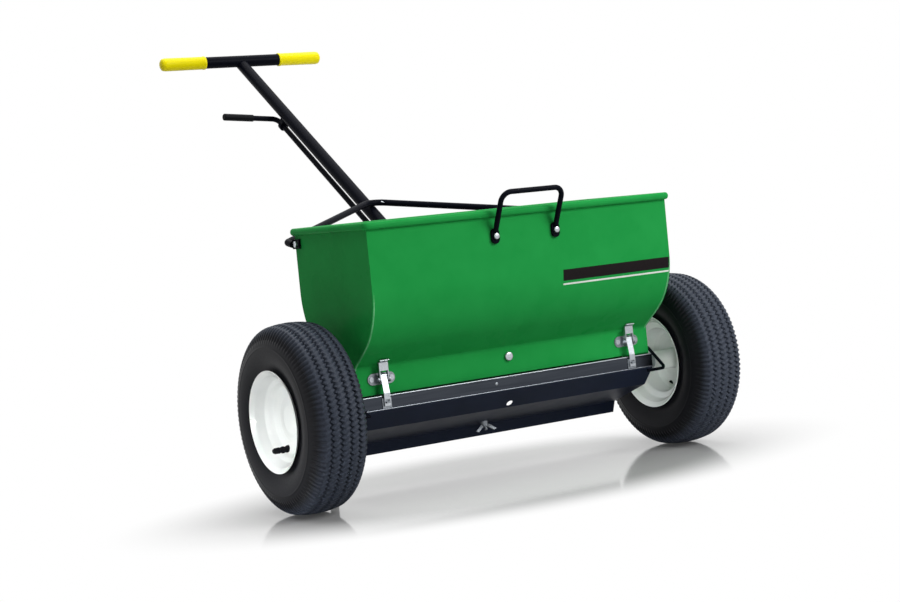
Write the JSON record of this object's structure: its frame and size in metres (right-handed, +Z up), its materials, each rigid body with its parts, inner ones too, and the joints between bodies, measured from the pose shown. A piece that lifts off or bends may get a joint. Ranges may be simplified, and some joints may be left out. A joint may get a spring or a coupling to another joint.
{
  "type": "garden drop spreader",
  "caption": "Walk-behind drop spreader: green sheet-steel hopper on pneumatic wheels, driven rotor over a metering slide, scatter board, draw latches, twist control and T-handle.",
  "frame": {"origin": "floor point under the middle of the whole object's box, wheels and parking leg standing on Z = 0", "axes": "+X along the axle to the right as pushed, +Y back to the handle, +Z up"},
  "size_m": [0.918, 1.1074, 0.8777],
  "materials": {
    "green_enamel": "gloss enamel",
    "black_enamel": "satin enamel",
    "white_enamel": "gloss enamel",
    "tyre_rubber": "moulded rubber",
    "black_rubber": "moulded",
    "yellow_vinyl": "dipped vinyl",
    "stainless_sheet": "bright rolled",
    "oiled_bronze": "turned",
    "black_plastic": "moulded",
    "etched_plate": "satin",
    "zinc_plate": "bright zinc",
    "bright_steel": "cold drawn"
  },
  "bodies": {
    "chassis": {"front_panel": "green_enamel", "back_panel": "green_enamel", "left_end_panel": "green_enamel", "right_end_panel": "green_enamel", "rim_bead": "green_enamel", "carry_handle": "black_enamel", "carry_handle_bolts": "zinc_plate", "skirt_bolt": "zinc_plate", "bottom_tray": "stainless_sheet", "slide_clips": "stainless_sheet", "scatter_board": "black_enamel", "board_strap": "black_enamel", "board_bolt": "zinc_plate", "wing_nut": "zinc_plate", "board_hangers": "black_enamel", "axle_bearings": "oiled_bronze", "handle_tube": "black_enamel", "cross_bar": "black_enamel", "left_grip": "yellow_vinyl", "right_grip": "yellow_vinyl", "handle_bracket": "black_enamel", "back_wall_bolts": "zinc_plate", "handle_foot_bolts": "zinc_plate", "handle_brace": "black_enamel", "brace_bolts": "zinc_plate", "rod_guides": "black_enamel", "latch_bases": "zinc_plate", "latch_pins": "zinc_plate", "latch_catches": "zinc_plate", "latch_rivets": "zinc_plate", "leg_bracket": "black_enamel", "leg_pin": "zinc_plate", "dial_plate": "etched_plate", "dial_stud": "zinc_plate"},
    "drive_wheel": {"axle_shaft": "bright_steel", "agitator_rotor": "bright_steel", "axle_collars": "zinc_plate", "drive_pin": "zinc_plate", "left_rim": "white_enamel", "left_tyre": "tyre_rubber", "left_valve": "black_rubber"},
    "free_wheel": {"right_rim": "white_enamel", "right_tyre": "tyre_rubber", "right_valve": "black_rubber", "right_hub_bush": "oiled_bronze"},
    "twist_control": {"control_rod": "black_enamel", "lever_grip": "black_rubber", "rod_crank": "black_enamel", "rod_collars": "black_enamel"},
    "metering_slide": {"slide_plate": "stainless_sheet", "slide_yoke": "black_enamel", "yoke_bolt": "zinc_plate"},
    "left_lever": {"left_latch_lever": "zinc_plate"},
    "left_bail": {"left_latch_bail": "zinc_plate"},
    "right_lever": {"right_latch_lever": "zinc_plate"},
    "right_bail": {"right_latch_bail": "zinc_plate"},
    "rate_dial": {"rate_dial": "black_plastic"},
    "parking_leg": {"parking_leg": "black_enamel", "leg_foot": "black_rubber"}
  },
  "joints": [
    {"name": "drive_axle", "type": "hinge", "parent": "chassis", "child": "drive_wheel", "pos_m": [0, -0.37504, 0.165], "axis": [1, 0, 0], "continuous": true},
    {"name": "free_wheel_spin", "type": "hinge", "parent": "drive_wheel", "child": "free_wheel", "pos_m": [0.405, -0.37504, 0.165], "axis": [1, 0, 0], "continuous": true},
    {"name": "control_twist", "type": "hinge", "parent": "chassis", "child": "twist_control", "pos_m": [0, -0.21564, 0.30468], "axis": [0, 0.8251, 0.565], "range_deg": [-40, 0]},
    {"name": "slide_shift", "type": "slide", "parent": "chassis", "child": "metering_slide", "axis": [1, 0, 0], "range_m": [0, 0.0247]},
    {"name": "dial_turn", "type": "hinge", "parent": "chassis", "child": "rate_dial", "pos_m": [0.12, -0.25104, 0.415], "axis": [0, 1, 0], "range_deg": [0, 270]},
    {"name": "leg_fold", "type": "hinge", "parent": "chassis", "child": "parking_leg", "pos_m": [-0.274, -0.20904, 0.401], "axis": [1, 0, 0], "range_deg": [0, 100]},
    {"name": "left_latch_turn", "type": "hinge", "parent": "chassis", "child": "left_lever", "pos_m": [-0.266, -0.43004, 0.215], "axis": [1, 0, 0], "range_deg": [0, 110]},
    {"name": "left_bail_turn", "type": "hinge", "parent": "left_lever", "child": "left_bail", "pos_m": [-0.266, -0.43004, 0.222], "axis": [1, 0, 0], "range_deg": [-110, 0]},
    {"name": "right_latch_turn", "type": "hinge", "parent": "chassis", "child": "right_lever", "pos_m": [0.266, -0.43004, 0.215], "axis": [1, 0, 0], "range_deg": [0, 110]},
    {"name": "right_bail_turn", "type": "hinge", "parent": "right_lever", "child": "right_bail", "pos_m": [0.266, -0.43004, 0.222], "axis": [1, 0, 0], "range_deg": [-110, 0]}
  ],
  "couplings": [
    {"joint": "slide_shift", "follows": "control_twist", "m_per_rad": -0.035237},
    {"joint": "left_bail_turn", "follows": "left_latch_turn", "ratio": -1},
    {"joint": "right_bail_turn", "follows": "right_latch_turn", "ratio": -1}
  ]
}
